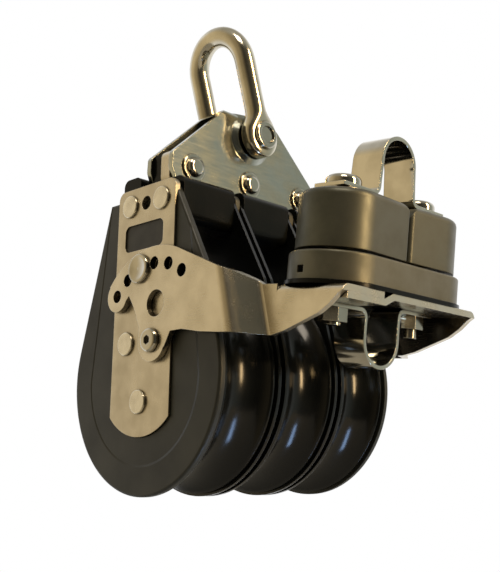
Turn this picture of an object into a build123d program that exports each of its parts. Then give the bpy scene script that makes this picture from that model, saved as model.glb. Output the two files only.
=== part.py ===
from build123d import *
import math
import os

# Triple mainsheet block with a shackle head and a cam cleat on a tilting bracket.
# Sizes in millimetres.  Parts are laid out about the middle sheave's centre:
# X along the axle, -Y towards the cleat, Z up along the straps.  The finished
# parts are then moved so that the origin is where the bow of the shackle bears.

# ---- sheaves and their bearings ----
SHEAVE_PITCH = 27.27
SHEAVE_R = 36.9
GROOVE_FLOOR_R = 30.4
SHEAVE_W = 22.3
RIM_LIP = 1.7
AXLE_R = 5.2
RACE_R = 11.0
ROLLER_R = 2.5
FIT = 0.05
BORE_R = RACE_R + 2 * ROLLER_R + 2 * FIT
ROLLER_PITCH_R = (RACE_R + BORE_R) / 2
ROLLER_LEN = 17.6
ROLLERS = 12
CAP_R = 19.0
CAP_T = 1.2

# ---- cheeks, dividers and straps ----
PLATE_R = 37.8
DISC_T = 1.2
INNER_STRAP_T = 2.0
DIVIDER_T = 2 * DISC_T + INNER_STRAP_T
CHEEK_IN = 1.5 * SHEAVE_PITCH - DIVIDER_T / 2
CHEEK_OUT = 40.9
STRAP_T = 2.0
STRAP_OUT = 41.7
STRAP_IN = STRAP_OUT - STRAP_T
STRAP_HALF = 15.3
STRAP_TOP = 65.0
STRAP_SHOULDER = -12.7
STRAP_TOE = -19.1
REAR_CORNER = (21.5, 62.0)
FRONT_CORNER = (-14.8, 62.0)
FRONT_KNEE = (-30.4, 33.0)
WINDOW = (0.7, 47.5, 20.4, 9.2)
POCKET_GAP = 0.15

# ---- rivets that hold the frame together ----
TOP_RIVET_YZ = ((-8.4, 58.9), (8.4, 58.9))
TOP_HOLE_YZ = (0.0, 58.9)
LOW_RIVET_YZ = ((0.0, -7.9), (7.8, 11.4))
RIVET_R = 2.6
FLAT_HEAD_R = 3.9
FLAT_HEAD_H = 0.9

# ---- head, its link bar and its rivets ----
HEAD_HALF = 6.9
HEAD_T = 2.0
HEAD_TOP = 99.6
HEAD_CROWN = 12.2
HEAD_SHOULDER = (36.5, 77.2)
HEAD_FOOT = (34.6, 66.6)
HEAD_RIVET_Z = 73.2
HEAD_RIVET_R = 3.0
DOME_FLANGE_R = 4.9
DOME_R = 3.5
BAR_T = 4.6

# ---- shackle ----
PIN_Z = 90.6
PIN_R = 3.9
PIN_HEAD_R = 5.2
BAR_R = 3.8
LEG_Y = 12.4
BOW_REACH = 40.9
SHACKLE_TILT = 17.5
EYE_R = 7.7
EYE_IN = 8.7
EYE_OUT = 14.9
BOSS_FACE = 8.4
BOSS_R = 12.0
BOSS_TOP_R = 7.5

# ---- tilting bracket ----
PIVOT = (-8.0, 11.2)
PIVOT_R = 2.5
INDEX_R = 25.3
INDEX_FIRST = 40.4
INDEX_STEP = 16.7
INDEX_HOLES = 6
INDEX_USED = 2
FAN_OUT = 31.0
FAN_IN = 20.3
SHEET_T = 2.0
ARM_IN = STRAP_OUT + 0.15
ARM_OUT = ARM_IN + SHEET_T
BIG_HOLE = (-9.6, 23.1, 4.4)
WEB_X = 33.3
BEND_TILT = 13.0

# ---- cleat, in its own frame: X across, V forward, W up off the platform ----
CLEAT_TILT = 6.4
POST_X = 19.0
POST_V = 60.4
DECK_W = 31.0
DECK_FRONT = 75.4
DECK_REAR = 44.5
PAD_T = 1.3
BASE_TOP = 41.0
BASE_R = 14.5
PAD_R = 15.3
CAM_LOW = 42.1
CAM_TOP = 59.9
CAM_R = 12.9
NOSE_R = 6.0
CAM_TIP = (-18.7, -11.9)
TEETH = 8
TOOTH_STEP = 0.1
TOOTH_R = 0.65
POST_R = 4.0
BALL_R = 1.2
CAM_BORE_R = POST_R + 2 * BALL_R + 2 * FIT
BALL_PITCH_R = (POST_R + CAM_BORE_R) / 2
BALLS = 12
SCREW_R = 2.5
STRIP_T = 1.2
STRIP_W = 11.6
LOOP_HALF = 8.7
LOOP_TOP = 82.0
LOOP_LOW = 9.2
FLANGE_TOP = 61.3


def slab_x(sketch, x0, x1):
    """Extrude a (y, z) sketch from x0 to x1."""
    return extrude(Plane.YZ.offset(x0) * sketch, x1 - x0)


def slab_y(sketch, y_low, y_high):
    """Extrude an (x, z) sketch from y_high down to y_low."""
    plane = Plane(origin=(0, y_high, 0), x_dir=(1, 0, 0), z_dir=(0, -1, 0))
    return extrude(plane * sketch, y_high - y_low)


def rod_x(y, z, r, x0, x1):
    return slab_x(Pos(y, z) * Circle(r), x0, x1)


def rod_y(x, z, r, y_low, y_high):
    return slab_y(Pos(x, z) * Circle(r), y_low, y_high)


def rod_w(x, y, r, w0, w1):
    """Upright rod in the cleat's frame."""
    return Pos(x, y, (w0 + w1) / 2) * Cylinder(r, w1 - w0)


def polar(centre, r, degrees):
    """Point at radius r and an angle about a centre."""
    a = math.radians(degrees)
    return (centre[0] + r * math.cos(a), centre[1] + r * math.sin(a))


def outline(*points):
    return make_face(Polyline(*points, close=True))


def group(solids):
    return Compound(children=list(solids))


def plate_outline(r):
    """Teardrop of the cheeks and dividers: a disc with a tapered neck."""
    neck = outline(REAR_CORNER, FRONT_CORNER, FRONT_KNEE, tangent_point(FRONT_KNEE, r, 1),
                   (0, 0), tangent_point(REAR_CORNER, r, -1))
    return Circle(r) + neck


def tangent_point(point, r, side):
    """Where the line from a point touches a circle about the origin."""
    reach = math.hypot(*point)
    angle = math.degrees(math.atan2(point[1], point[0])) + side * math.degrees(math.acos(r / reach))
    return polar((0, 0), r, angle)


def strap_outline(grow=0.0):
    """Strap: straight sides, a shallow round toe and rounded top corners."""
    half = STRAP_HALF + grow
    top = STRAP_TOP + grow
    toe = ThreePointArc((half, STRAP_SHOULDER), (0, STRAP_TOE - grow), (-half, STRAP_SHOULDER))
    sides = Polyline((-half, STRAP_SHOULDER), (-half, top), (half, top), (half, STRAP_SHOULDER))
    face = make_face(toe + sides)
    return fillet(face.vertices().group_by(Axis.Y)[-1], 3.0)


def index_points(first, last):
    return [polar(PIVOT, INDEX_R, INDEX_FIRST + INDEX_STEP * k) for k in range(first, last)]


def cheek(side):
    """Moulded side plate with a pocket for the strap and a relief step inside."""
    body = slab_x(plate_outline(PLATE_R), CHEEK_IN, CHEEK_OUT)
    rim = body.edges().filter_by(lambda e: abs(e.center().X - CHEEK_OUT) < 0.01)
    body = fillet(rim, 0.9)
    body -= slab_x(strap_outline(POCKET_GAP), STRAP_IN, CHEEK_OUT + 1)
    body -= rod_x(0, 0, AXLE_R, CHEEK_IN - 1, STRAP_IN)
    for y, z in TOP_RIVET_YZ + LOW_RIVET_YZ:
        body -= rod_x(y, z, RIVET_R, CHEEK_IN - 1, CHEEK_OUT + 1)
    body -= rod_x(*PIVOT, PIVOT_R, CHEEK_IN - 1, CHEEK_OUT + 1)
    return to_side(body, side)


def to_side(shape, side):
    """Far parts are as drawn, near ones are their mirror image."""
    return shape if side > 0 else mirror(shape, Plane.YZ)


def strap(side):
    """Stainless outer strap, with its label window, vent hole and index holes."""
    face = strap_outline()
    y, z, w, h = WINDOW
    face -= Pos(y, z) * RectangleRounded(w, h, 2.2)
    face -= Pos(*TOP_HOLE_YZ) * Circle(2.4)
    for y, z in TOP_RIVET_YZ + LOW_RIVET_YZ:
        face -= Pos(y, z) * Circle(RIVET_R)
    for y, z in index_points(1, INDEX_HOLES - 1):
        face -= Pos(y, z) * Circle(2.1)
    face -= Pos(*PIVOT) * Circle(PIVOT_R)
    body = slab_x(face, STRAP_IN, STRAP_OUT)
    return to_side(body, side)


def label(side):
    """Blank moulded plate that fills the strap's window."""
    y, z, w, h = WINDOW
    face = Pos(y, z) * RectangleRounded(w - 0.1, h - 0.1, 2.1)
    return to_side(slab_x(face, STRAP_IN, STRAP_OUT - 0.5), side)


def divider_x(side):
    return side * SHEAVE_PITCH / 2


def divider_discs(side):
    """Two thin discs, one on each face of an inner strap."""
    face = plate_outline(PLATE_R) - Circle(AXLE_R)
    for y, z in TOP_RIVET_YZ:
        face -= Pos(y, z) * Circle(RIVET_R)
    x = divider_x(side)
    inner = INNER_STRAP_T / 2
    first = slab_x(face, x - inner - DISC_T, x - inner)
    second = slab_x(face, x + inner, x + inner + DISC_T)
    return group([first, second])


def inner_strap(side):
    """Load strap inside a divider, from the axle up to the through rivets."""
    face = strap_outline() - Circle(AXLE_R)
    for y, z in TOP_RIVET_YZ:
        face -= Pos(y, z) * Circle(RIVET_R)
    x = divider_x(side)
    return slab_x(face, x - INNER_STRAP_T / 2, x + INNER_STRAP_T / 2)


def spacer(x):
    """Moulded throat block above a sheave, with a lug up between the head plates."""
    half = SHEAVE_PITCH / 2 - DIVIDER_T / 2 - FIT
    body_face = fillet((Pos(1.0, 58.6) * Rectangle(34.0, 15.6)).vertices(), 3.0)
    shoulder = fillet((Pos(12.2, 64.0) * Rectangle(9.6, 13.4)).vertices(), 2.6)
    lug_half = HEAD_HALF - HEAD_T - FIT
    lug_front = BAR_T - (HEAD_HALF - HEAD_T) + FIT
    lug = slab_x(Pos((lug_front + lug_half) / 2, 69.0) * Rectangle(lug_half - lug_front, 18.0),
                 -8.0, 8.0)
    body = slab_x(body_face + shoulder, -half, half) + lug
    body -= rod_y(0, HEAD_RIVET_Z, HEAD_RIVET_R, -30, 30)
    body -= rod_y(0, HEAD_RIVET_Z, DOME_FLANGE_R + 0.3, HEAD_HALF, 30)
    for y, z in TOP_RIVET_YZ:
        body -= rod_x(y, z, RIVET_R, -half - 1, half + 1)
    return Pos(x, 0, 0) * body


def head_outline(grow=0.0):
    """Front view of the head: a flat crown, sloping shoulders and a straight foot."""
    crown = (HEAD_CROWN, HEAD_TOP)
    half = [crown, HEAD_SHOULDER, (HEAD_SHOULDER[0] + 0.2, 72.0), HEAD_FOOT]
    other = [(-x, z) for x, z in reversed(half)]
    face = outline(*half, *other)
    low = face.vertices().filter_by(lambda v: v.Y < 80)
    return fillet(low, 2.6)


def head_channel():
    """Folded plate with a pressed boss on each face for the shackle's pin."""
    face = head_outline()
    body = slab_y(face, -HEAD_HALF, HEAD_HALF)
    hollow = HEAD_HALF - HEAD_T
    body -= slab_y(Pos(0, 78.8) * Rectangle(90, 2 * (HEAD_TOP - HEAD_T - 78.8)), -hollow, hollow)
    crown = body.edges().filter_by(Axis.X).group_by(Axis.Z)[-1]
    body = fillet(crown, 2.4)
    for side in (-1, 1):
        body += pin_boss(side) & Pos(0, 0, HEAD_TOP - 25) * Box(60, 60, 50)
        body -= pin_boss_hollow(side) & Pos(0, 0, HEAD_TOP - HEAD_T - 25) * Box(60, 60, 50)
    body -= rod_y(0, PIN_Z, PIN_R + FIT, -20, 20)
    for x in (-SHEAVE_PITCH, 0, SHEAVE_PITCH):
        body -= rod_y(x, HEAD_RIVET_Z, HEAD_RIVET_R, -20, 20)
    return body


def cone_y(side, r0, y0, r1, y1):
    """Cone about the shackle pin's axis, between two distances from the middle."""
    profile = Polyline((0, y0), (r0, y0), (r1, y1), (0, y1), close=True)
    solid = revolve(make_face(profile), Axis.Y)
    solid = Pos(0, 0, PIN_Z) * solid
    return solid if side > 0 else mirror(solid, Plane.XZ)


def pin_boss(side):
    return cone_y(side, BOSS_R, HEAD_HALF - HEAD_T + 0.2, BOSS_TOP_R, BOSS_FACE)


def pin_boss_hollow(side):
    return cone_y(side, BOSS_R - 1.6, HEAD_HALF - HEAD_T - 0.5, BOSS_TOP_R - 1.6, BOSS_FACE - 1.6)


def head_bar():
    """Flat bar that ties the three spacers, behind the head's front plate."""
    face = fillet((Pos(0, 72.6) * Rectangle(72.4, 12.0)).vertices(), 2.6)
    front = -(HEAD_HALF - HEAD_T)
    bar = slab_y(face, front, front + BAR_T)
    for x in (-SHEAVE_PITCH, 0, SHEAVE_PITCH):
        bar -= rod_y(x, HEAD_RIVET_Z, HEAD_RIVET_R, -20, 20)
    return bar


def domed_rivet(x):
    """Rivet with a flanged dome on each end, along Y."""
    shank = rod_y(x, HEAD_RIVET_Z, HEAD_RIVET_R, -HEAD_HALF, HEAD_HALF)
    flange = rod_y(x, HEAD_RIVET_Z, DOME_FLANGE_R, HEAD_HALF, HEAD_HALF + 0.9)
    flange = fillet(flange.edges().group_by(Axis.Y)[-1], 0.4)
    dome = rod_y(x, HEAD_RIVET_Z, DOME_R, HEAD_HALF, HEAD_HALF + 2.6)
    dome = flange + fillet(dome.edges().group_by(Axis.Y)[-1], 1.6)
    return shank + dome + mirror(dome, Plane.XZ)


def flat_rivet(y, z, x_in, side):
    """Rivet with a thin flat head on the strap."""
    head = rod_x(y, z, FLAT_HEAD_R, STRAP_OUT, STRAP_OUT + FLAT_HEAD_H)
    rim = head.edges().group_by(Axis.X)[-1]
    body = fillet(rim, 0.35) + rod_x(y, z, RIVET_R, x_in, STRAP_OUT)
    return to_side(body, side)


def through_rivets():
    """Two long rivets through every strap, divider and spacer."""
    return group(flat_rivet(y, z, 0, 1) + flat_rivet(y, z, 0, -1) for y, z in TOP_RIVET_YZ)


def cheek_rivets():
    return group(flat_rivet(y, z, CHEEK_IN, side) for side in (-1, 1) for y, z in LOW_RIVET_YZ)


def axle():
    return rod_x(0, 0, AXLE_R, -STRAP_IN, STRAP_IN)


def inner_race(x):
    half = SHEAVE_PITCH / 2 - DIVIDER_T / 2 - FIT
    sleeve = slab_x(Circle(RACE_R) - Circle(AXLE_R), -half, half)
    return Pos(x, 0, 0) * sleeve


def sheave(x):
    """Grooved sheave: round rope groove, rolled rim, dished webs, capped bore."""
    half = SHEAVE_W / 2
    lip = half - RIM_LIP
    groove = ThreePointArc((lip, SHEAVE_R - 0.6), (0, GROOVE_FLOOR_R), (-lip, SHEAVE_R - 0.6))
    rim = Polyline((-lip, SHEAVE_R - 0.6), (-lip - 0.5, SHEAVE_R), (-half + 0.5, SHEAVE_R),
                   (-half, SHEAVE_R - 0.5), (-half, 33.0), (-half + 1.6, 31.0), (-half + 1.6, 21.5),
                   (-half, 20.2), (-half, CAP_R), (-half + CAP_T, CAP_R), (-half + CAP_T, BORE_R),
                   (half - CAP_T, BORE_R), (half - CAP_T, CAP_R), (half, CAP_R), (half, 20.2),
                   (half - 1.6, 21.5), (half - 1.6, 31.0), (half, 33.0), (half, SHEAVE_R - 0.5),
                   (half - 0.5, SHEAVE_R), (lip + 0.5, SHEAVE_R), (lip, SHEAVE_R - 0.6))
    return Pos(x, 0, 0) * revolve(make_face(groove + rim), Axis.X)


def race_caps(x):
    """Rings that keep the rollers in the sheave."""
    ring = Circle(CAP_R) - Circle(RACE_R + 0.35)
    half = SHEAVE_W / 2
    pair = [slab_x(ring, -half, -half + CAP_T), slab_x(ring, half - CAP_T, half)]
    return group(Pos(x, 0, 0) * cap for cap in pair)


def rollers(x):
    """Full complement of acetal rollers between the race and the bore."""
    points = [polar((0, 0), ROLLER_PITCH_R, 360 / ROLLERS * k) for k in range(ROLLERS)]
    half = ROLLER_LEN / 2
    return group(rod_x(y, z, ROLLER_R, x - half, x + half) for y, z in points)


def shackle_location():
    """The shackle leans about its pin, towards -X."""
    return Pos(0, 0, PIN_Z) * Rot(0, -SHACKLE_TILT, 0)


def shackle_bow():
    """Forged bow: round bar legs, half-round top and flattened eyes."""
    straight = BOW_REACH - LEG_Y
    legs = Polyline((0, -LEG_Y, 5.5), (0, -LEG_Y, straight))
    arc = ThreePointArc((0, -LEG_Y, straight), (0, 0, BOW_REACH), (0, LEG_Y, straight))
    other = Line((0, LEG_Y, straight), (0, LEG_Y, 5.5))
    bar = sweep(Plane(origin=(0, -LEG_Y, 5.5)) * Circle(BAR_R), legs + arc + other)
    body = bar
    for side in (-1, 1):
        eye = rod_y(0, 0, EYE_R, EYE_IN, EYE_OUT)
        eye = fillet(eye.edges().filter_by(GeomType.CIRCLE), 1.8)
        body += eye if side > 0 else mirror(eye, Plane.XZ)
        neck = Solid.make_cone(EYE_R - 1.2, BAR_R, 9.0, Plane((0, side * LEG_Y, 3.5)))
        guard = Pos(0, side * (EYE_IN + 10), 10) * Box(40, 20, 40)
        body += neck & guard
    body -= rod_y(0, 0, PIN_R, -40, 40)
    body -= rod_y(0, 0, PIN_HEAD_R + 0.1, -40, -EYE_OUT)
    body -= rod_y(0, 0, PIN_HEAD_R + 0.1, EYE_OUT, 40)
    return shackle_location() * body


def shackle_pin():
    """Clevis pin with a low domed head in front and a riveted end behind."""
    shank = rod_y(0, 0, PIN_R, -EYE_OUT, EYE_OUT)
    head = rod_y(0, 0, PIN_HEAD_R, -EYE_OUT - 1.3, -EYE_OUT)
    head = fillet(head.edges().group_by(Axis.Y)[0], 0.9)
    head -= rod_y(0, 0, 3.3, -EYE_OUT - 2, -EYE_OUT - 0.7)
    tail = rod_y(0, 0, PIN_HEAD_R - 0.4, EYE_OUT, EYE_OUT + 1.1)
    tail = fillet(tail.edges().group_by(Axis.Y)[-1], 0.8)
    return shackle_location() * (shank + head + tail)


def screw_head(r, height, socket):
    """Button head along +Z with a hexagon socket."""
    head = Pos(0, 0, height / 2) * Cylinder(r, height)
    head = fillet(head.edges().group_by(Axis.Z)[-1], height * 0.62)
    head -= Pos(0, 0, height * 0.35) * extrude(RegularPolygon(socket, 6), height)
    return head


def head_at_strap(head, y, z, side):
    """Turn a head to face outwards on the arm at (y, z)."""
    turned = Pos(ARM_OUT, y, z) * Rot(0, 90, 0) * head
    return to_side(turned, side)


def pivot_screws():
    screws = []
    for side in (-1, 1):
        shank = to_side(rod_x(*PIVOT, PIVOT_R, CHEEK_IN, ARM_OUT + 0.15), side)
        head = Pos(side * 0.15, 0, 0) * head_at_strap(screw_head(3.9, 1.7, 1.6), *PIVOT, side)
        screws.append(shank + head)
    return group(screws)


def index_screws():
    """Dished thumb screws that ride in the fan; their tips stop at the strap."""
    y, z = index_points(INDEX_USED, INDEX_USED + 1)[0]
    screws = []
    for side in (-1, 1):
        head = Pos(0, 0, 0.7) * Cylinder(4.9, 1.4)
        head = fillet(head.edges().group_by(Axis.Z)[-1], 0.5)
        head -= Pos(0, 0, 16.0) * Sphere(15.1)
        shank = to_side(rod_x(y, z, 2.1, ARM_IN, ARM_OUT), side)
        screws.append(head_at_strap(head, y, z, side) + shank)
    return group(screws)


def arm_face():
    """Side view of the bracket: index fan, pivot lobe, arm and deck web."""
    rear = polar(PIVOT, INDEX_R, INDEX_FIRST)
    crest = polar(PIVOT, FAN_OUT, 117)
    fan = Pos(*PIVOT) * (Circle(FAN_OUT) - Circle(FAN_IN))
    wedge = outline(PIVOT, polar(PIVOT, 60, INDEX_FIRST), polar(PIVOT, 60, 90), polar(PIVOT, 60, 117))
    lobe = Pos(*rear) * Circle((FAN_OUT - FAN_IN) / 2)
    body = outline(polar(PIVOT, FAN_IN + 3, 52), (1.6, 22.6), (-1.6, 16.0), (-1.4, 10.4), PIVOT,
                   (-14.6, 8.6), (-17.4, 13.4), (-23.0, 13.5), (-31.0, 12.0), (-40.0, 11.0),
                   (-51.0, 10.2), (-56.0, 11.0), (-63.6, 13.2), (-69.1, 14.8), (-73.2, 17.0),
                   (-76.6, 19.6), deck_point(DECK_FRONT, DECK_W - SHEET_T), deck_point(DECK_FRONT, DECK_W),
                   deck_point(DECK_REAR, DECK_W), (-41.7, 29.9), crest)
    face = (fan & wedge) + lobe + body + Pos(*PIVOT) * Circle(6.8)
    inner_notch = face.vertices().filter_by(lambda v: v.X > -3 and v.Y < 25)
    return fillet(inner_notch, 1.5)


def deck_point(v, w):
    """Cleat-frame (V, W) as model (y, z)."""
    t = math.radians(CLEAT_TILT)
    return (-v * math.cos(t) - w * math.sin(t), -v * math.sin(t) + w * math.cos(t))


def side_wall():
    """Far side sheet: flat arm, inward joggle, then the deck's web."""
    tilt = math.radians(BEND_TILT)
    plane = Plane(origin=(0, -43.6, 20), x_dir=(1, 0, 0), z_dir=(0, math.sin(tilt), math.cos(tilt)))
    mid = ARM_IN + SHEET_T / 2
    web = WEB_X - SHEET_T / 2
    path = FilletPolyline((mid, 80), (mid, 1.6), (web, -3.4), (web, -60), radius=2.6)
    sheet = extrude(plane * trace(path, SHEET_T), 50, both=True)
    prism = slab_x(arm_face(), 0, 60)
    wall = sheet & prism
    for y, z in index_points(0, INDEX_HOLES):
        wall -= rod_x(y, z, 2.15, 30, 60)
    wall -= rod_x(*BIG_HOLE, 30, 60)
    wall -= rod_x(*PIVOT, PIVOT_R + FIT, 30, 60)
    return wall


def cleat_place(shape):
    """Move a shape from the cleat's frame, where Y runs backwards, to the model."""
    t = math.radians(CLEAT_TILT)
    plane = Plane(origin=(0, 0, 0), x_dir=(1, 0, 0), z_dir=(0, -math.sin(t), math.cos(t)))
    return plane.location * shape


def deck_sheet(points):
    """Deck flange: an (x, w) section run from the front edge to the rear one."""
    plane = Plane(origin=(0, -DECK_REAR, 0), x_dir=(1, 0, 0), z_dir=(0, -1, 0))
    body = extrude(plane * outline(*points), DECK_FRONT - DECK_REAR)
    for x in (-POST_X, POST_X):
        body -= rod_w(x, -POST_V, SCREW_R, 0, 60)
    return body


def edge_cutter():
    """Takes the square corner off where a web meets the deck."""
    r = 2.6
    block = Pos(WEB_X - r / 2 + 2, -POST_V, DECK_W - r / 2 + 2) * Box(r + 4, 60, r + 4)
    keep = Pos(WEB_X - r, -POST_V, DECK_W - r) * Rot(90, 0, 0) * Cylinder(r, 80)
    inner = Pos(WEB_X - r - 10, -POST_V, DECK_W - r) * Box(20, 80, 40)
    low = Pos(WEB_X - r, -POST_V, DECK_W - r - 10) * Box(40, 80, 20)
    cutter = block - keep - inner - low
    return cutter & Pos(0, -POST_V - 4, DECK_W) * Box(200, 2 * (POST_V - DECK_REAR) - 4, 60)


def bracket_near_half():
    """Near arm and web, with a short deck flange on top."""
    top = DECK_W
    low = DECK_W - SHEET_T
    deck = deck_sheet([(-WEB_X, top), (-14.5, top), (-14.5, low), (-WEB_X, low)])
    deck -= mirror(edge_cutter(), Plane.YZ)
    wall = mirror(side_wall(), Plane.YZ) - cleat_place(mirror(edge_cutter(), Plane.YZ))
    return wall + cleat_place(deck)


def bracket_far_half():
    """Far arm and web, with a deck flange that joggles under the near one."""
    top = DECK_W
    low = DECK_W - SHEET_T
    drop = SHEET_T
    web = WEB_X
    deck = deck_sheet([(web, top), (-10.2, top), (-14.2, top - drop), (-31.0, top - drop),
                       (-31.0, low - drop), (-13.6, low - drop), (-9.6, low), (web, low)])
    wall = side_wall() - cleat_place(edge_cutter())
    return wall + cleat_place(deck - edge_cutter())


def racetrack(r):
    """Plan of the cleat's base."""
    return Pos(0, -POST_V) * (Rectangle(2 * POST_X, 2 * r) + Pos(-POST_X, 0) * Circle(r)
                              + Pos(POST_X, 0) * Circle(r))


def cleat_pad():
    face = racetrack(PAD_R)
    for x in (-POST_X, POST_X):
        face -= Pos(x, -POST_V) * Circle(SCREW_R)
    return cleat_place(extrude(Plane.XY.offset(DECK_W) * face, PAD_T))


def cleat_base():
    """Moulded base with a spring well and a screw hole under each cam."""
    bottom = DECK_W + PAD_T
    body = extrude(Plane.XY.offset(bottom) * racetrack(BASE_R), BASE_TOP - bottom)
    body = fillet(body.edges().group_by(Axis.Z)[-1], 0.8)
    for x in (-POST_X, POST_X):
        body -= rod_w(x, -POST_V, SCREW_R, 0, 60)
        body -= rod_w(x, -POST_V, POST_R, 34.0, 60)
        well = rod_w(x, -POST_V, 9.4, 35.4, 60) - rod_w(x, -POST_V, 5.2, 30, 60)
        body -= well
        body -= Pos(x + math.copysign(14.2, x), -POST_V + 1.3, bottom + 2.9) * Box(5.0, 2.5, 2.2)
    return cleat_place(body)


def cam_post(x):
    """Flanged sleeve that a cam turns on."""
    post = rod_w(x, -POST_V, POST_R, 34.0, FLANGE_TOP)
    flange = rod_w(x, -POST_V, 7.0, CAM_TOP + 0.2, FLANGE_TOP)
    flange = fillet(flange.edges().group_by(Axis.Z)[-1], 0.5)
    return cleat_place(post + flange - rod_w(x, -POST_V, SCREW_R, 30, 70))


def cam(side):
    """Toothed cam, drawn for the far post and mirrored for the near one."""
    jaw_end = polar((0, 0), CAM_R, 150)
    jaw = ThreePointArc(CAM_TIP, (-16.9, -2.5), jaw_end)
    rest = Polyline(jaw_end, (0, 0), polar((0, 0), CAM_R, 268), CAM_TIP)
    face = make_face(jaw + rest) + Circle(CAM_R)
    face = fillet(face.vertices().sort_by(Axis.X)[0], 1.3)
    face = fillet(face.vertices().filter_by(lambda v: v.Y > 3 and v.X < -5), 5.0)
    body = extrude(Plane.XY.offset(CAM_LOW) * face, CAM_TOP - CAM_LOW)
    body = fillet(body.edges().group_by(Axis.Z)[-1], 2.2)
    for k in range(TEETH):
        root = jaw @ (0.15 + TOOTH_STEP * k)
        body -= rod_w(root.X - 0.2, root.Y, TOOTH_R, CAM_LOW + 1.0, CAM_TOP - 2.4)
    body -= rod_w(0, 0, CAM_BORE_R, CAM_LOW - 1, CAM_TOP + 1)
    body &= nose_round()
    return cleat_place(to_side(Pos(POST_X, -POST_V, 0) * body, side))


def nose_round():
    """Blank whose top corner above the jaw is rounded over."""
    wide = 40.0
    face = Pos(wide / 2 - POST_X, (CAM_LOW + CAM_TOP) / 2) * Rectangle(wide, CAM_TOP - CAM_LOW)
    corner = face.vertices().filter_by(lambda v: v.X < 0 and v.Y > CAM_LOW + 1)
    face = fillet(corner, NOSE_R)
    plane = Plane(origin=(0, 25, 0), x_dir=(1, 0, 0), z_dir=(0, -1, 0))
    return extrude(plane * face, 50)


def cam_balls(x):
    """Two rows of bearing balls between a post and its cam."""
    rows = (CAM_LOW + 3.5, CAM_TOP - 3.5)
    points = [polar((x, -POST_V), BALL_PITCH_R, 360 / BALLS * k) for k in range(BALLS)]
    return group(cleat_place(Pos(px, py, w) * Sphere(BALL_R)) for w in rows for px, py in points)


def cam_spring(x):
    """Torsion spring in the base's well, closed coils and one leg."""
    coils = [Pos(x, -POST_V, 36.3 + 1.3 * k) * Torus(7.2, 0.72) for k in range(4)]
    leg = Pos(x, -POST_V + 7.2, 38.8) * Cylinder(0.7, 3.4)
    body = coils[0]
    for coil in coils[1:]:
        body += coil
    return cleat_place(body + leg)


def cleat_screws():
    screws = []
    for x in (-POST_X, POST_X):
        head = Pos(x, -POST_V, FLANGE_TOP + STRIP_T) * screw_head(5.6, 3.2, 2.4)
        screws.append(cleat_place(head + rod_w(x, -POST_V, SCREW_R, 20.6, FLANGE_TOP + STRIP_T)))
    return group(screws)


def cleat_nuts():
    """Hexagon nuts under the lower fairlead's feet."""
    nuts = []
    for x, top in ((-POST_X, foot_w(-1)), (POST_X, foot_w(1))):
        nut = Pos(x, -POST_V, top - 4.2) * extrude(RegularPolygon(4.4, 6), 4.2)
        nuts.append(cleat_place(nut - rod_w(x, -POST_V, SCREW_R, 0, 60)))
    return group(nuts)


def foot_w(side):
    """Underside of a lower fairlead foot; the near one sits under both sheets."""
    return DECK_W - SHEET_T - STRIP_T - (SHEET_T if side < 0 else 0)


def loop_strip(path, v_mid):
    """Flat strip bent along an (x, w) path, holed for the cleat's screws."""
    plane = Plane(origin=(0, -v_mid + STRIP_W / 2, 0), x_dir=(1, 0, 0), z_dir=(0, -1, 0))
    body = extrude(plane * trace(path, STRIP_T), STRIP_W)
    for x in (-POST_X, POST_X):
        body -= rod_w(x, -POST_V, SCREW_R, 0, 90)
    return cleat_place(body)


def upper_fairlead():
    """Arch over the jaws, its feet clamped under the screw heads."""
    foot = FLANGE_TOP + STRIP_T / 2
    leg = LOOP_HALF - STRIP_T / 2
    spring = LOOP_TOP - LOOP_HALF
    near = FilletPolyline((-25.4, foot), (-leg - 0.8, foot), (-leg, spring), radius=2.6)
    arch = ThreePointArc((-leg, spring), (0, LOOP_TOP - STRIP_T / 2), (leg, spring))
    far = FilletPolyline((leg, spring), (leg + 0.8, foot), (25.4, foot), radius=2.6)
    return loop_strip(near + arch + far, POST_V)


def lower_fairlead():
    """Loop under the deck, its feet clamped over the nuts."""
    near_foot = foot_w(-1) + STRIP_T / 2
    far_foot = foot_w(1) + STRIP_T / 2
    leg = LOOP_HALF - STRIP_T / 2
    spring = LOOP_LOW + LOOP_HALF
    near = FilletPolyline((-25.4, near_foot), (-leg, near_foot), (-leg, spring), radius=2.6)
    belly = ThreePointArc((-leg, spring), (0, LOOP_LOW + STRIP_T / 2), (leg, spring))
    far = FilletPolyline((leg, spring), (leg, far_foot), (25.4, far_foot), radius=2.6)
    return loop_strip(near + belly + far, POST_V - 1.9)


def bow_bearing_point():
    """Inner face of the bow's top, where the shackle hangs from its fitting."""
    reach = BOW_REACH - BAR_R
    tilt = math.radians(SHACKLE_TILT)
    return (-reach * math.sin(tilt), 0, PIN_Z + reach * math.cos(tilt))


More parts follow.
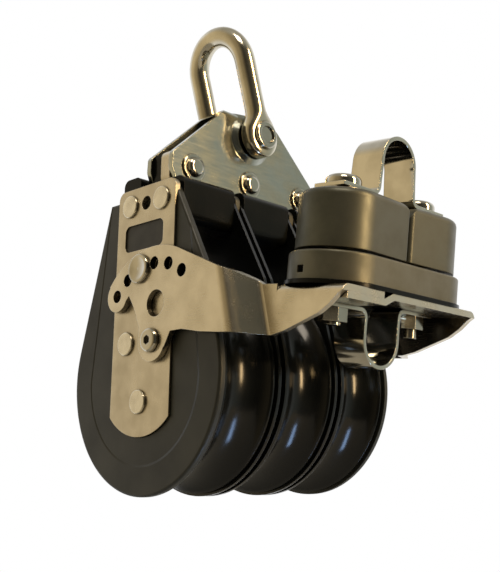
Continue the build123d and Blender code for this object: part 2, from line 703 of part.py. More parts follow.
def build_parts():
    """Name and shape of every node, still about the middle sheave's centre."""
    sides = {"near": -1, "far": 1}
    stations = {"near": -SHEAVE_PITCH, "middle": 0.0, "far": SHEAVE_PITCH}
    parts = {
        "shackle_bow": shackle_bow(),
        "shackle_pin": shackle_pin(),
        "head_channel": head_channel(),
        "head_bar": head_bar(),
        "head_rivets": group(domed_rivet(x) for x in stations.values()),
        "through_rivets": through_rivets(),
        "cheek_rivets": cheek_rivets(),
        "axle": axle(),
        "pivot_screws": pivot_screws(),
        "index_screws": index_screws(),
        "bracket_near_half": bracket_near_half(),
        "bracket_far_half": bracket_far_half(),
        "cleat_pad": cleat_pad(),
        "cleat_base": cleat_base(),
        "cleat_screws": cleat_screws(),
        "cleat_nuts": cleat_nuts(),
        "upper_fairlead": upper_fairlead(),
        "lower_fairlead": lower_fairlead(),
    }
    for name, side in sides.items():
        parts["cheek_" + name] = cheek(side)
        parts["strap_" + name] = strap(side)
        parts["label_" + name] = label(side)
        parts["divider_discs_" + name] = divider_discs(side)
        parts["inner_strap_" + name] = inner_strap(side)
        parts["cam_" + name] = cam(side)
        parts["cam_post_" + name] = cam_post(side * POST_X)
        parts["cam_balls_" + name] = cam_balls(side * POST_X)
        parts["cam_spring_" + name] = cam_spring(side * POST_X)
    for name, x in stations.items():
        parts["spacer_" + name] = spacer(x)
        parts["inner_race_" + name] = inner_race(x)
        parts["sheave_" + name] = sheave(x)
        parts["race_caps_" + name] = race_caps(x)
        parts["rollers_" + name] = rollers(x)
    return parts


os.makedirs("parts", exist_ok=True)
bearing = bow_bearing_point()
for part_name, part_shape in build_parts().items():
    moved = Pos(-bearing[0], -bearing[1], -bearing[2]) * part_shape
    export_step(moved, os.path.join("parts", part_name + ".step"))
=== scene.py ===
"""Looks for a triple mainsheet block with a cam cleat on a tilting bracket.

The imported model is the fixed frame.  Each sub-assembly below dresses its own
nodes with finishes named for the real materials, and the shackle's bow is
rebuilt as one forged skin.  Everything is in metres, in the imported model's own
frame: +Z up the straps, +X along the axle, -Y to the cleat, with the origin
where the shackle's bow bears on its fitting.
"""

import logging
import math
from dataclasses import dataclass
from enum import Enum
from typing import Sequence

import bmesh
import bpy
from mathutils import Matrix, Quaternion, Vector


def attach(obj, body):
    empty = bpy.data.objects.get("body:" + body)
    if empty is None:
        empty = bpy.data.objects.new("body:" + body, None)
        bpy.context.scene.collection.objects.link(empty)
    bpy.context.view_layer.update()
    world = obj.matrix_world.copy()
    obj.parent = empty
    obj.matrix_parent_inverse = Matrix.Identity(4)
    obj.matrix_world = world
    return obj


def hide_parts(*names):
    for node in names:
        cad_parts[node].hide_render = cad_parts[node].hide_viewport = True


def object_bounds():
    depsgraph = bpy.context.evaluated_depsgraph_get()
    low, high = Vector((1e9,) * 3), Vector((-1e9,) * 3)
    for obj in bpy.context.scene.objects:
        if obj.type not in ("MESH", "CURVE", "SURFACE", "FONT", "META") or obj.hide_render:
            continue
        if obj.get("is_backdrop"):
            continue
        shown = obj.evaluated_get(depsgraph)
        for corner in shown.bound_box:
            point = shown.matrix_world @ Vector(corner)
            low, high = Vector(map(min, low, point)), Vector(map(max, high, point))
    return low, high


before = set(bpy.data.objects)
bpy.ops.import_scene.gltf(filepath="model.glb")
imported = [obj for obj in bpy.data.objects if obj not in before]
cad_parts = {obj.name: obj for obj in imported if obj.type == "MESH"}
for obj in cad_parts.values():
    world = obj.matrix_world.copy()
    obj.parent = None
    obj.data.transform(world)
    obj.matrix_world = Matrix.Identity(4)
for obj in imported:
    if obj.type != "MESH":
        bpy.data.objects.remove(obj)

LOG = logging.getLogger("mainsheet_block")
MM = 0.001
# The axle's middle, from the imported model's origin.
AXLE_DEPTH_MM = 125.983
AXLE_SHIFT_MM = 11.156


def linear(hex_colour: str) -> tuple[float, float, float, float]:
    """Turns an sRGB hex colour into Blender's linear colour.

    Args:
        hex_colour: Six hex digits after a hash, such as "#C8B48A".

    Returns:
        Linear red, green, blue and an alpha of 1.
    """
    digits = hex_colour.lstrip("#")
    parts = [int(digits[i : i + 2], 16) / 255 for i in (0, 2, 4)]
    curve = [c / 12.92 if c <= 0.04045 else ((c + 0.055) / 1.055) ** 2.4 for c in parts]
    return (curve[0], curve[1], curve[2], 1.0)


def per_metre(size_mm: float) -> float:
    """Pattern scale at which one feature is size_mm wide."""
    return 1.0 / (size_mm * MM)


def add_node(
    tree: bpy.types.NodeTree,
    kind: str,
    inputs: dict | None = None,
    **settings: object,
) -> bpy.types.Node:
    """Adds one node with its settings, values and links.

    Args:
        tree: The node tree to add to.
        kind: Blender's type name of the node.
        inputs: Input name or index to a value, or to the socket that feeds it.
        **settings: The node's own properties.

    Returns:
        The new node.
    """
    node = tree.nodes.new(kind)
    for name, value in settings.items():
        setattr(node, name, value)
    for key, value in (inputs or {}).items():
        socket = node.inputs[key]
        if isinstance(value, bpy.types.NodeSocket):
            tree.links.new(value, socket)
        else:
            socket.default_value = value
    return node


def mix_colour(
    tree: bpy.types.NodeTree,
    share: bpy.types.NodeSocket,
    first: object,
    second: object,
) -> bpy.types.NodeSocket:
    """Blends two colours.

    Args:
        tree: The node tree to add to.
        share: How much of the second colour shows.
        first: Colour, or the socket that gives it, at share 0.
        second: Colour, or the socket that gives it, at share 1.

    Returns:
        The blended colour's socket.
    """
    node = add_node(tree, "ShaderNodeMix", {0: share, 6: first, 7: second}, data_type="RGBA")
    return node.outputs[2]


def spread(
    tree: bpy.types.NodeTree,
    value: bpy.types.NodeSocket,
    low: float,
    high: float,
    start: float = 0.0,
    stop: float = 1.0,
) -> bpy.types.NodeSocket:
    """Maps a pattern's value from one range onto another.

    Args:
        tree: The node tree to add to.
        value: The pattern's socket.
        low: Result at start.
        high: Result at stop.
        start: Lowest pattern value used.
        stop: Highest pattern value used.

    Returns:
        The mapped value's socket.
    """
    node = add_node(
        tree,
        "ShaderNodeMapRange",
        {"Value": value, "From Min": start, "From Max": stop, "To Min": low, "To Max": high},
    )
    return node.outputs["Result"]


class Grain(Enum):
    """Direction in which a metal's surface was brushed or rolled."""

    UP = (1.0, 1.0, 0.03)
    ALONG_AXLE = (0.03, 1.0, 1.0)
    TOWARDS_CLEAT = (1.0, 0.03, 1.0)
    NONE = (1.0, 1.0, 1.0)


@dataclass(frozen=True)
class Finish:
    """A surface finish that can make its own material."""

    name: str

    def material(self) -> bpy.types.Material:
        """Makes the material, or returns the one already made."""
        made = bpy.data.materials.get(self.name)
        if made is None:
            made = bpy.data.materials.new(self.name)
            made.use_nodes = True
            made.node_tree.nodes.clear()
            self.wire(made.node_tree)
        return made

    def wire(self, tree: bpy.types.NodeTree) -> None:
        """Builds the finish's nodes in an empty tree."""
        raise NotImplementedError

    def axle_axes(
        self, tree: bpy.types.NodeTree
    ) -> tuple[bpy.types.NodeSocket, bpy.types.NodeSocket, bpy.types.NodeSocket]:
        """Gives coordinates from the axle.

        Args:
            tree: The node tree to add to.

        Returns:
            Sockets of X along the axle, Y across it and the height above it.
        """
        coords = add_node(tree, "ShaderNodeTexCoord")
        axis = add_node(tree, "ShaderNodeSeparateXYZ", {0: coords.outputs["Object"]})
        up = add_node(
            tree, "ShaderNodeMath", {0: axis.outputs["Z"], 1: AXLE_DEPTH_MM * MM}, operation="ADD"
        )
        return axis.outputs["X"], axis.outputs["Y"], up.outputs[0]

    def radius(
        self, tree: bpy.types.NodeTree, across: bpy.types.NodeSocket, up: bpy.types.NodeSocket
    ) -> bpy.types.NodeSocket:
        """Gives the distance from the axle of a point across and up from it."""
        flat = add_node(tree, "ShaderNodeCombineXYZ", {0: 0.0, 1: across, 2: up})
        reach = add_node(tree, "ShaderNodeVectorMath", {0: flat.outputs[0]}, operation="LENGTH")
        return reach.outputs["Value"]

    def place(self, tree: bpy.types.NodeTree, stretch: Sequence[float]) -> bpy.types.NodeSocket:
        """Gives object coordinates, stretched along a direction.

        Args:
            tree: The node tree to add to.
            stretch: Scale along X, Y and Z.

        Returns:
            The coordinates' socket.
        """
        coords = add_node(tree, "ShaderNodeTexCoord")
        mapping = add_node(
            tree,
            "ShaderNodeMapping",
            {"Vector": coords.outputs["Object"], "Scale": tuple(stretch)},
        )
        return mapping.outputs["Vector"]

    def noise(
        self,
        tree: bpy.types.NodeTree,
        place: bpy.types.NodeSocket,
        size_mm: float,
        detail: float = 3.0,
    ) -> bpy.types.NodeSocket:
        """Gives a cloudy pattern whose patches are size_mm across."""
        made = add_node(
            tree,
            "ShaderNodeTexNoise",
            {"Vector": place, "Scale": per_metre(size_mm), "Detail": detail},
        )
        return made.outputs["Fac"]

    def rounded(self, tree: bpy.types.NodeTree, radius_mm: float) -> bpy.types.NodeSocket:
        """Gives the normal of a surface whose edges are broken.

        Args:
            tree: The node tree to add to.
            radius_mm: Radius of the broken edge, or 0 for a smooth skin.

        Returns:
            The normal's socket.
        """
        if radius_mm == 0.0:
            return add_node(tree, "ShaderNodeNewGeometry").outputs["Normal"]
        made = add_node(tree, "ShaderNodeBevel", {"Radius": radius_mm * MM}, samples=4)
        return made.outputs["Normal"]

    def bump(
        self,
        tree: bpy.types.NodeTree,
        height: bpy.types.NodeSocket,
        depth_mm: float,
        normal: bpy.types.NodeSocket,
        strength: float = 1.0,
    ) -> bpy.types.NodeSocket:
        """Raises a pattern by depth_mm over the given normal."""
        made = add_node(
            tree,
            "ShaderNodeBump",
            {"Height": height, "Distance": depth_mm * MM, "Strength": strength, "Normal": normal},
        )
        return made.outputs["Normal"]

    def shade(self, tree: bpy.types.NodeTree, inputs: dict) -> None:
        """Ends the tree in a Principled shader with these inputs."""
        shader = add_node(tree, "ShaderNodeBsdfPrincipled", inputs)
        add_node(tree, "ShaderNodeOutputMaterial", {"Surface": shader.outputs["BSDF"]})


@dataclass(frozen=True)
class StainlessSteel(Finish):
    """316 stainless steel, from tumbled plate to buffed bar.

    Rolling and tumbling leave a fine directional grain that widens highlights
    along it, with soft clouds where the plate was handled.  Buffed bar keeps
    only faint clouds, so that it shows a nearly sharp room.  Painted shade
    from an occlusion pass darkens the corners where two pieces meet, and outlines each piece.
    """

    colour: str = "#D3C7AE"
    cloud: str = "#B5A88E"
    roughness: float = 0.3
    roughness_swing: float = 0.1
    grain: Grain = Grain.UP
    grain_mm: float = 0.22
    grain_depth_mm: float = 0.004
    cloud_mm: float = 9.0
    edge_mm: float = 0.25
    # Painted shade: its dark colour, and how far the occlusion pass reaches.
    painted_shade: str = "#4B4333"
    painted_shade_mm: float = 1.4

    def wire(self, tree: bpy.types.NodeTree) -> None:
        """Builds grain, clouds, painted shade in corners and softened edges.

        Args:
            tree: The material's empty tree.
        """
        along = self.place(tree, self.grain.value)
        plain = self.place(tree, Grain.NONE.value)
        grain = self.noise(tree, along, self.grain_mm, 2.0)
        clouds = self.noise(tree, plain, self.cloud_mm, 4.0)
        patch = spread(tree, clouds, 0.0, 1.0, 0.35, 0.7)
        colour = mix_colour(tree, patch, linear(self.colour), linear(self.cloud))
        # Painted shade: the occlusion pass blends the colour towards a dark tone in corners and
        # near other pieces.
        corner = add_node(
            tree, "ShaderNodeAmbientOcclusion", {"Distance": self.painted_shade_mm * MM}, samples=6
        )
        painted_shade_share = spread(tree, corner.outputs["AO"], 0.85, 0.0, 0.4, 0.85)
        colour = mix_colour(tree, painted_shade_share, colour, linear(self.painted_shade))
        base = spread(
            tree, clouds, self.roughness - self.roughness_swing / 2,
            self.roughness + self.roughness_swing / 2, 0.3, 0.7,
        )
        streak = spread(tree, grain, -self.roughness_swing / 3, self.roughness_swing / 3, 0.3, 0.7)
        rough = add_node(tree, "ShaderNodeMath", {0: base, 1: streak}, operation="ADD")
        normal = self.bump(tree, grain, self.grain_depth_mm, self.rounded(tree, self.edge_mm))
        self.shade(
            tree,
            {
                "Base Color": colour,
                "Metallic": 1.0,
                "Roughness": rough.outputs[0],
                "Normal": normal,
            },
        )


@dataclass(frozen=True)
class MouldedNylon(Finish):
    """Glass-filled nylon from an etched mould.

    The etched mould leaves a pebbled matt skin about a third of a millimetre
    across, paler where hands and ropes have rubbed it.
    """

    colour: str = "#1A1C18"
    rubbed: str = "#2C2E29"
    roughness: float = 0.44
    gloss: float = 0.4
    pebble_mm: float = 0.35
    pebble_depth_mm: float = 0.012
    rubbed_mm: float = 16.0
    edge_mm: float = 0.3
    step_radius_mm: float = 0.0
    step_depth_mm: float = 0.25
    step_width_mm: float = 0.7
    step_taper: float = 0.12

    def contour(self, tree: bpy.types.NodeTree) -> bpy.types.NodeSocket:
        """Height of a shallow step that follows the plate's outline.

        Below the axle the step is an arc about it; above, it runs up with a
        slight taper, as the plate's own sides do.

        Args:
            tree: The node tree to add to.

        Returns:
            A height from 0 inside the step to 1 outside it.
        """
        _, across, up = self.axle_axes(tree)
        below = add_node(tree, "ShaderNodeMath", {0: up, 1: 0.0}, operation="MINIMUM")
        above = add_node(tree, "ShaderNodeMath", {0: up, 1: 0.0}, operation="MAXIMUM")
        reach = self.radius(tree, across, below.outputs[0])
        taper = add_node(
            tree,
            "ShaderNodeMath",
            {0: above.outputs[0], 1: self.step_taper, 2: reach},
            operation="MULTIPLY_ADD",
        )
        edge, half = self.step_radius_mm * MM, self.step_width_mm / 2 * MM
        return spread(tree, taper.outputs[0], 0.0, 1.0, edge - half, edge + half)

    def wire(self, tree: bpy.types.NodeTree) -> None:
        """Builds the pebbled skin, the rubbed patches and any contour step.

        Args:
            tree: The material's empty tree.
        """
        plain = self.place(tree, Grain.NONE.value)
        pebble = self.noise(tree, plain, self.pebble_mm, 2.0)
        rub = self.noise(tree, plain, self.rubbed_mm, 5.0)
        share = spread(tree, rub, 0.0, 0.75, 0.35, 0.75)
        colour = mix_colour(tree, share, linear(self.colour), linear(self.rubbed))
        rough = spread(tree, rub, self.roughness + 0.06, self.roughness - 0.08, 0.3, 0.7)
        normal = self.rounded(tree, self.edge_mm)
        if self.step_radius_mm:
            normal = self.bump(tree, self.contour(tree), self.step_depth_mm, normal)
        normal = self.bump(tree, pebble, self.pebble_depth_mm, normal)
        self.shade(
            tree,
            {
                "Base Color": colour,
                "Roughness": rough,
                "Specular IOR Level": self.gloss,
                "IOR": 1.53,
                "Normal": normal,
            },
        )


@dataclass(frozen=True)
class TurnedAcetal(Finish):
    """Black acetal turned on a lathe about the axle.

    The tool leaves fine rings about the axle, drawn at half a millimetre where
    the real ones are finer, and a waxy gloss that stretches highlights.
    """

    colour: str = "#090A09"
    worn: str = "#121310"
    roughness: float = 0.17
    ring_mm: float = 0.5
    ring_depth_mm: float = 0.003
    worn_mm: float = 12.0
    edge_mm: float = 0.2
    gloss: float = 0.38

    def wire(self, tree: bpy.types.NodeTree) -> None:
        """Builds lathe rings from the distance to the axle, and worn patches.

        Args:
            tree: The material's empty tree.
        """
        along, across, up = self.axle_axes(tree)
        lathe = add_node(
            tree, "ShaderNodeCombineXYZ", {0: along, 1: self.radius(tree, across, up), 2: 0.0}
        )
        rings = self.noise(tree, lathe.outputs[0], self.ring_mm, 2.0)
        plain = self.place(tree, Grain.NONE.value)
        wear = self.noise(tree, plain, self.worn_mm, 5.0)
        share = spread(tree, wear, 0.0, 0.8, 0.4, 0.75)
        colour = mix_colour(tree, share, linear(self.colour), linear(self.worn))
        rough = spread(tree, wear, self.roughness - 0.03, self.roughness + 0.06, 0.3, 0.7)
        normal = self.bump(tree, rings, self.ring_depth_mm, self.rounded(tree, self.edge_mm))
        self.shade(
            tree,
            {
                "Base Color": colour,
                "Roughness": rough,
                "Specular IOR Level": self.gloss,
                "IOR": 1.48,
                "Normal": normal,
            },
        )


@dataclass(frozen=True)
class HardAnodised(Finish):
    """Aluminium, hard anodised dark and sealed.

    The thick oxide is a warm brown-grey that reflects like a dull metal, with
    a very fine blasted texture and paler metal on its rubbed edges.
    """

    colour: str = "#57584F"
    patch: str = "#494A42"
    edge: str = "#8E846A"
    roughness: float = 0.4
    blast_mm: float = 0.3
    blast_depth_mm: float = 0.006
    patch_mm: float = 7.0
    edge_mm: float = 0.45
    metal: float = 0.6

    def wire(self, tree: bpy.types.NodeTree) -> None:
        """Builds the blasted texture, the uneven dye and the rubbed edges.

        Args:
            tree: The material's empty tree.
        """
        plain = self.place(tree, Grain.NONE.value)
        blast = self.noise(tree, plain, self.blast_mm, 2.0)
        dye = self.noise(tree, plain, self.patch_mm, 4.0)
        colour = mix_colour(
            tree, spread(tree, dye, 0.0, 1.0, 0.35, 0.7), linear(self.colour), linear(self.patch)
        )
        soft = self.rounded(tree, self.edge_mm)
        sharp = add_node(tree, "ShaderNodeNewGeometry")
        agree = add_node(
            tree, "ShaderNodeVectorMath", {0: soft, 1: sharp.outputs["Normal"]},
            operation="DOT_PRODUCT",
        )
        rubbed = spread(tree, agree.outputs["Value"], 0.55, 0.0, 0.85, 0.995)
        colour = mix_colour(tree, rubbed, colour, linear(self.edge))
        rough = spread(tree, dye, self.roughness - 0.05, self.roughness + 0.06, 0.3, 0.7)
        self.shade(
            tree,
            {
                "Base Color": colour,
                "Metallic": self.metal,
                "Roughness": rough,
                "Normal": self.bump(tree, blast, self.blast_depth_mm, soft),
            },
        )


@dataclass(frozen=True)
class NaturalAcetal(Finish):
    """White acetal of the rollers and balls: ivory, waxy and a little clear."""

    colour: str = "#E9E4D6"
    cloud: str = "#DAD3C0"
    roughness: float = 0.25
    cloud_mm: float = 3.0

    def wire(self, tree: bpy.types.NodeTree) -> None:
        """Builds a waxy ivory with faint flow clouds.

        Args:
            tree: The material's empty tree.
        """
        flow = self.noise(tree, self.place(tree, Grain.NONE.value), self.cloud_mm, 2.0)
        share = spread(tree, flow, 0.0, 1.0)
        colour = mix_colour(tree, share, linear(self.colour), linear(self.cloud))
        self.shade(tree, {"Base Color": colour, "Roughness": self.roughness, "IOR": 1.48})


@dataclass(frozen=True)
class ShopFloor(Finish):
    """Painted board under the block: matt, pale, with a faint roller texture."""

    colour: str = "#9EA09E"
    roughness: float = 0.8
    stipple_mm: float = 3.0
    stipple_depth_mm: float = 0.02

    def wire(self, tree: bpy.types.NodeTree) -> None:
        """Builds a matt pale paint.

        Args:
            tree: The material's empty tree.
        """
        stipple = self.noise(tree, self.place(tree, Grain.NONE.value), self.stipple_mm, 2.0)
        flat = add_node(tree, "ShaderNodeNewGeometry").outputs["Normal"]
        self.shade(
            tree,
            {
                "Base Color": linear(self.colour),
                "Roughness": self.roughness,
                "Normal": self.bump(tree, stipple, self.stipple_depth_mm, flat),
            },
        )


# Outer straps and hidden steel: even, soft and satin.
TUMBLED_PLATE = StainlessSteel("tumbled_stainless_plate", colour="#CDC3AE", cloud="#B8AD96")
# Plates seen edge on: the sheared edge is dull and dark.
SHEARED_PLATE = StainlessSteel(
    "sheared_stainless_plate", colour="#5A5850", cloud="#46443C", roughness=0.4
)
# Heads closed by a press: brighter than the plate round them.
RIVET_HEAD = StainlessSteel(
    "pressed_rivet_head", colour="#E4DDCB", cloud="#CFC7B4", roughness=0.24, cloud_mm=4.0,
    edge_mm=0.2,
)
# Bent sheet of the bracket: soft shine outside, and painted shade from a long occlusion pass
# darkens its inner faces, which see only dark pieces.
FORMED_SHEET = StainlessSteel(
    "formed_stainless_sheet", colour="#D8CFBC", cloud="#C3B9A3", roughness=0.24,
    roughness_swing=0.1, grain=Grain.TOWARDS_CLEAT, painted_shade="#2E2A22", painted_shade_mm=60.0,
)
# Head plate: buffed until it shows a blurred room.
BUFFED_PLATE = StainlessSteel(
    "buffed_stainless_plate", colour="#B4B6AC", cloud="#96988C", roughness=0.2,
    roughness_swing=0.1, grain=Grain.ALONG_AXLE, grain_depth_mm=0.002, edge_mm=0.5,
)
# Pin, screws and domes: crisp small highlights.
BUFFED_BAR = StainlessSteel(
    "buffed_stainless_bar", colour="#C9C3B4", cloud="#B0AA9A", roughness=0.1,
    roughness_swing=0.06, grain=Grain.UP, grain_depth_mm=0.001, edge_mm=0.3,
)
# Shackle's bow: polished, with the faint waves of a forging.
FORGED_BAR = StainlessSteel(
    "forged_stainless_bar", colour="#D6CFBC", cloud="#B9B19D", roughness=0.17,
    roughness_swing=0.06, grain=Grain.NONE, grain_mm=1.6, grain_depth_mm=0.005, edge_mm=0.0,
)
# Rope guides: strip worn bright by rope.
BRIGHT_STRIP = StainlessSteel(
    "bright_stainless_strip", colour="#DAD3C2", cloud="#BFB8A6", roughness=0.09,
    roughness_swing=0.06, grain=Grain.TOWARDS_CLEAT, grain_depth_mm=0.001, edge_mm=0.3,
)
# Black mouldings: matt cheeks and label, and a smoother, darker throat.
CHEEK_NYLON = MouldedNylon("moulded_nylon_cheek", step_radius_mm=28.2)
THROAT_NYLON = MouldedNylon(
    "moulded_nylon_throat", colour="#0A0B0A", rubbed="#101210", roughness=0.24, gloss=0.12
)
LABEL_NYLON = MouldedNylon("moulded_nylon_label", colour="#1C1B17", rubbed="#2B2923", rubbed_mm=5.0)
TURNED_ACETAL = TurnedAcetal("turned_black_acetal")
# The base took the dye a little paler than the cams.
CAM_ANODISE = HardAnodised("hard_anodised_cam")
BASE_ANODISE = HardAnodised(
    "hard_anodised_base", colour="#65645A", patch="#54544A", edge="#8A8168", roughness=0.4
)
BEARING_ACETAL = NaturalAcetal("natural_acetal_bearing")
SPRING_WIRE = StainlessSteel(
    "drawn_spring_wire", colour="#B9B7B0", cloud="#9E9C95", roughness=0.25, edge_mm=0.05
)
PALE_FLOOR = ShopFloor("pale_floor_paint")


def dress(finish: Finish, *names: str) -> None:
    """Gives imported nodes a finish.

    Args:
        finish: The surface finish.
        *names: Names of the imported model's nodes.
    """
    for name in names:
        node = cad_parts[name]
        node.data.materials.clear()
        node.data.materials.append(finish.material())
        LOG.info("%s wears %s", name, finish.name)


def mesh_object(name: str, bm: bmesh.types.BMesh, finish: Finish) -> bpy.types.Object:
    """Makes a smooth-shaded object from a finished mesh.

    Args:
        name: The piece's name.
        bm: The mesh, which is freed.
        finish: The surface finish.

    Returns:
        The new object, linked to the scene.
    """
    mesh = bpy.data.meshes.new(name)
    bmesh.ops.recalc_face_normals(bm, faces=bm.faces)
    bm.to_mesh(mesh)
    bm.free()
    mesh.shade_smooth()
    made = bpy.data.objects.new(name, mesh)
    bpy.context.scene.collection.objects.link(made)
    mesh.materials.append(finish.material())
    LOG.info("%s built with %d faces", name, len(mesh.polygons))
    return made


@dataclass
class Shackle:
    """Forged bow and clevis pin that the block hangs by."""

    pin_height_mm: float = 90.6
    tilt_deg: float = 17.5
    bar_radius_mm: float = 3.8
    leg_spread_mm: float = 12.4
    reach_mm: float = 40.893
    eye_radius_mm: float = 7.7
    eye_inner_mm: float = 8.7
    eye_outer_mm: float = 14.9
    neck_mm: float = 10.0
    eye_top_mm: float = 2.0
    eye_squareness: float = 3.6
    ring_points: int = 40
    eye_steps: int = 14
    leg_steps: int = 22
    top_steps: int = 28

    def place(self) -> Matrix:
        """Frame of the pin: X through the bow, Y along the pin, Z up the legs."""
        pin = Vector((AXLE_SHIFT_MM, 0.0, self.pin_height_mm - AXLE_DEPTH_MM)) * MM
        lean = Matrix.Rotation(math.radians(-self.tilt_deg), 4, "Y")
        return Matrix.Translation(pin) @ lean @ Matrix.Scale(MM, 4)

    def section(self, height: float) -> tuple[float, float, float, float]:
        """Size of the leg at a height above the pin.

        Args:
            height: Height above the pin's axis in millimetres.

        Returns:
            Half breadth, half thickness, distance from the middle and the
            squareness of the section, from 2 for round.
        """
        lift = min(max((height - self.eye_top_mm) / (self.neck_mm - self.eye_top_mm), 0.0), 1.0)
        ease = lift * lift * (3 - 2 * lift)
        round_eye = math.sqrt(max(self.eye_radius_mm**2 - height**2, 0.0))
        if height > self.eye_top_mm:
            shoulder = math.sqrt(self.eye_radius_mm**2 - self.eye_top_mm**2)
            breadth = shoulder + (self.bar_radius_mm - shoulder) * ease
        else:
            breadth = round_eye
        flat = (self.eye_outer_mm - self.eye_inner_mm) / 2
        middle = (self.eye_outer_mm + self.eye_inner_mm) / 2
        edge = min(1.0, 0.72 + 0.28 * math.sqrt(max(1 - (height / self.eye_radius_mm) ** 2, 0.0)))
        thick = (flat if height > 0 else flat * edge) * (1 - ease) + self.bar_radius_mm * ease
        away = middle + (self.leg_spread_mm - middle) * ease
        return breadth, thick, away, self.eye_squareness + (2.0 - self.eye_squareness) * ease

    def loops(self) -> list[list[Vector]]:
        """Lays out the bow's skin.

        Returns:
            Rings of points from the front eye, over the top, to the back eye.
        """
        quarter = math.pi / 2 / self.eye_steps
        heights = [
            -self.eye_radius_mm * math.cos(quarter * k) for k in range(self.eye_steps + 1)
        ]
        spring = self.reach_mm - self.leg_spread_mm
        heights += [spring * (k / self.leg_steps) for k in range(1, self.leg_steps + 1)]
        leg = [(h, None) for h in heights]
        arc = [(spring, math.pi * k / self.top_steps) for k in range(1, self.top_steps)]
        rings: list[list[Vector]] = []
        for side, run in ((-1, leg), (0, arc), (1, list(reversed(leg)))):
            for height, turn in run:
                breadth, thick, away, square = self.section(height)
                ring = []
                for k in range(self.ring_points):
                    a = 2 * math.pi * k / self.ring_points
                    c, s = math.cos(a), math.sin(a)
                    x = breadth * math.copysign(abs(c) ** (2 / square), c)
                    t = thick * math.copysign(abs(s) ** (2 / square), s)
                    if turn is None:
                        ring.append(Vector((x, side * away - side * t, height)))
                    else:
                        r = self.leg_spread_mm - t
                        ring.append(
                            Vector((x, -r * math.cos(turn), spring + r * math.sin(turn)))
                        )
                rings.append(ring)
        return rings

    def forge_bow(self) -> bpy.types.Object:
        """Builds the bow as one swept skin with drawn-down eyes.

        Returns:
            The bow's object.
        """
        bm = bmesh.new()
        place = self.place()
        rings = [[bm.verts.new(place @ p) for p in ring] for ring in self.loops()]
        for low, high in zip(rings, rings[1:]):
            for k in range(len(low)):
                j = (k + 1) % len(low)
                bm.faces.new((low[k], low[j], high[j], high[k]))
        bmesh.ops.remove_doubles(bm, verts=bm.verts, dist=0.01 * MM)
        for ring in (rings[0], rings[-1]):
            loop = [v for v in dict.fromkeys(ring) if v.is_valid]
            if len(loop) > 2:
                bm.faces.new(loop)
        return mesh_object("forged_bow", bm, FORGED_BAR)

    def build(self) -> None:
        """Forges the bow and dresses the pin."""
        bow = self.forge_bow()
        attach(bow, "shackle")
        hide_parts("shackle_bow")
        dress(BUFFED_BAR, "shackle_pin")


@dataclass
class Head:
    """Folded head plate, its tie bar and its domed rivets."""

    def build(self) -> None:
        """Dresses the head's pieces."""
        dress(BUFFED_PLATE, "head_channel")
        dress(TUMBLED_PLATE, "head_bar")
        dress(BUFFED_BAR, "head_rivets")


@dataclass
class Frame:
    """Cheeks, straps, dividers, throat blocks and the rivets through them."""

    stations: tuple[str, ...] = ("near", "middle", "far")
    sides: tuple[str, ...] = ("near", "far")

    def build(self) -> None:
        """Dresses both sides and the dividers between them."""
        for side in self.sides:
            dress(CHEEK_NYLON, f"cheek_{side}")
            dress(TUMBLED_PLATE, f"strap_{side}")
            dress(SHEARED_PLATE, f"inner_strap_{side}")
            dress(LABEL_NYLON, f"label_{side}")
            dress(TURNED_ACETAL, f"divider_discs_{side}")
        for station in self.stations:
            dress(THROAT_NYLON, f"spacer_{station}")
        dress(RIVET_HEAD, "through_rivets", "cheek_rivets")
        dress(TUMBLED_PLATE, "axle")


@dataclass
class SheaveStack:
    """Three turned sheaves on rollers."""

    stations: tuple[str, ...] = ("near", "middle", "far")

    def build(self) -> None:
        """Dresses each sheave and its bearing."""
        for station in self.stations:
            dress(TURNED_ACETAL, f"sheave_{station}")
            dress(THROAT_NYLON, f"race_caps_{station}")
            dress(TUMBLED_PLATE, f"inner_race_{station}")
            dress(BEARING_ACETAL, f"rollers_{station}")


@dataclass
class TiltBracket:
    """Two bent sheets that carry the cleat, with their screws."""

    def build(self) -> None:
        """Dresses the sheets and the screws at the strap."""
        dress(FORMED_SHEET, "bracket_near_half", "bracket_far_half")
        dress(BUFFED_BAR, "pivot_screws", "index_screws")


@dataclass
class CamCleat:
    """Cam cleat with its base, springs, screws and rope guides."""

    sides: tuple[str, ...] = ("near", "far")

    def build(self) -> None:
        """Dresses the cleat."""
        for side in self.sides:
            dress(CAM_ANODISE, f"cam_{side}")
            dress(TUMBLED_PLATE, f"cam_post_{side}")
            dress(BEARING_ACETAL, f"cam_balls_{side}")
            dress(SPRING_WIRE, f"cam_spring_{side}")
        dress(BASE_ANODISE, "cleat_base")
        dress(THROAT_NYLON, "cleat_pad")
        dress(BUFFED_BAR, "cleat_screws", "cleat_nuts")
        dress(BRIGHT_STRIP, "upper_fairlead", "lower_fairlead")


@dataclass
class Viewpoint:
    """Camera below and in front of the near cheek."""

    position_mm: tuple[float, float, float] = (-205.4, -229.68, -151.69)
    turn: tuple[float, float, float, float] = (0.5863983, 0.7188947, -0.2950474, -0.2286361)
    lens_mm: float = 55.5
    shift: tuple[float, float] = (0.0186, -0.0230)

    def build(self) -> None:
        """Makes the camera and hands it to the scene."""
        data = bpy.data.cameras.new("camera")
        data.sensor_width = 36.0
        data.lens = self.lens_mm
        data.shift_x, data.shift_y = self.shift
        data.clip_start, data.clip_end = 0.01, 20.0
        data.dof.use_dof = False
        camera = bpy.data.objects.new("camera", data)
        camera.location = Vector(self.position_mm) * MM
        camera.rotation_mode = "QUATERNION"
        camera.rotation_quaternion = Quaternion(self.turn)
        bpy.context.scene.collection.objects.link(camera)
        bpy.context.scene.camera = camera


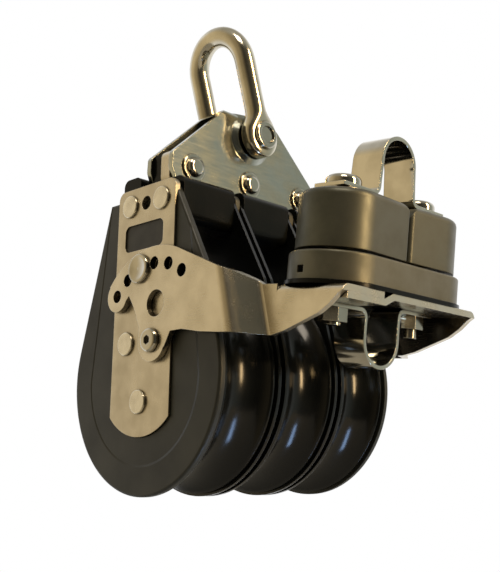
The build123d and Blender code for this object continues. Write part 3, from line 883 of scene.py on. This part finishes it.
@dataclass(frozen=True)
class Lamp:
    """One soft area light aimed at the block."""

    name: str
    position: tuple[float, float, float]
    size: tuple[float, float]
    watts: float
    colour: str

    def build(self, target: Vector) -> None:
        """Hangs the lamp and turns it to the target.

        Args:
            target: Point that the lamp faces, in metres.
        """
        data = bpy.data.lights.new(self.name, "AREA")
        data.shape = "RECTANGLE"
        data.size, data.size_y = self.size
        data.energy = self.watts
        data.color = linear(self.colour)[:3]
        lamp = bpy.data.objects.new(self.name, data)
        lamp.location = self.position
        facing = target - Vector(self.position)
        lamp.rotation_euler = facing.to_track_quat("-Z", "Y").to_euler()
        lamp.visible_camera = False
        bpy.context.scene.collection.objects.link(lamp)


@dataclass
class Studio:
    """Pale floor, graded surround and soft lamps."""

    floor_drop: float = 0.46
    floor_half: float = 0.55
    surround: tuple[tuple[float, str], ...] = (
        (0.00, "#A3AAA2"),
        (0.11, "#FFFFFF"),
        (0.39, "#FFFFFF"),
        (0.50, "#D9C7A2"),
        (0.63, "#9C8C6C"),
        (0.75, "#3E3A32"),
        (0.88, "#56564E"),
        (1.00, "#A3AAA2"),
    )
    overhead: str = "#A8A59C"
    lamps: tuple[Lamp, ...] = (
        Lamp("key_lamp", (-0.35, -0.45, 0.85), (0.4, 0.4), 5.0, "#FFF1DC"),
        Lamp("warm_strip", (0.33, -0.90, 0.24), (0.15, 0.8), 11.5, "#FFD9A0"),
        Lamp("cool_strip", (0.079, -0.209, -0.424), (0.06, 0.18), 0.42, "#A8CCFF"),
    )

    def sky(self) -> None:
        """Makes a surround whose tone changes with the compass direction.

        The far right is white, the left is cream, and the side that faces the
        cleat is dim, as in a room lit from one end, so that bright metal has
        something dark to show.
        """
        world = bpy.data.worlds.new("surround")
        world.use_nodes = True
        tree = world.node_tree
        tree.nodes.clear()
        coords = add_node(tree, "ShaderNodeTexCoord")
        axis = add_node(tree, "ShaderNodeSeparateXYZ", {0: coords.outputs["Generated"]})
        turn = add_node(
            tree, "ShaderNodeMath", {0: axis.outputs["Y"], 1: axis.outputs["X"]},
            operation="ARCTAN2",
        )
        share = add_node(
            tree, "ShaderNodeMapRange",
            {"Value": turn.outputs[0], "From Min": -math.pi / 4, "From Max": 7 * math.pi / 4},
            clamp=False,
        )
        wrapped = add_node(
            tree, "ShaderNodeMath", {0: share.outputs[0], 1: 1.0, 2: 0.0}, operation="WRAP"
        )
        ramp = add_node(tree, "ShaderNodeValToRGB", {"Fac": wrapped.outputs[0]})
        stops = ramp.color_ramp
        stops.interpolation = "EASE"
        for k, (place, colour) in enumerate(self.surround):
            stop = stops.elements[k] if k < 2 else stops.elements.new(place)
            stop.position = place
            stop.color = linear(colour)
        height = spread(tree, axis.outputs["Z"], 0.0, 1.0, 0.6, 0.95)
        toned = mix_colour(tree, height, ramp.outputs["Color"], linear(self.overhead))
        back = add_node(tree, "ShaderNodeBackground", {"Color": toned, "Strength": 1.0})
        add_node(tree, "ShaderNodeOutputWorld", {"Surface": back.outputs[0]})
        bpy.context.scene.world = world

    def floor(self, low: Vector, high: Vector) -> None:
        """Lays a pale board below the hanging block.

        Args:
            low: Lowest corner of the block's box.
            high: Highest corner of the block's box.
        """
        middle = (low + high) / 2
        bm = bmesh.new()
        bmesh.ops.create_grid(bm, x_segments=8, y_segments=8, size=self.floor_half)
        bmesh.ops.translate(bm, verts=bm.verts, vec=(middle.x, middle.y, -self.floor_drop))
        board = mesh_object("pale_floor", bm, PALE_FLOOR)
        board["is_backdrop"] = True

    def build(self, low: Vector, high: Vector) -> None:
        """Sets up surround, floor and lamps.

        Args:
            low: Lowest corner of the block's box.
            high: Highest corner of the block's box.
        """
        self.sky()
        self.floor(low, high)
        for lamp in self.lamps:
            lamp.build((low + high) / 2)


def colour_management() -> None:
    """Keeps whites white and colours as picked."""
    view = bpy.context.scene.view_settings
    view.view_transform = "Standard"
    view.look = "None"
    view.exposure = 0.0


def main() -> None:
    """Builds every sub-assembly in order."""
    logging.basicConfig(level=logging.INFO, format="%(name)s: %(message)s")
    cad_low, cad_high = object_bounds()
    colour_management()
    Viewpoint().build()
    for assembly in (Shackle(), Head(), Frame(), SheaveStack(), TiltBracket(), CamCleat()):
        assembly.build()
        LOG.info("%s done", type(assembly).__name__)
    Studio().build(cad_low, cad_high)


if __name__ == "__main__":
    main()
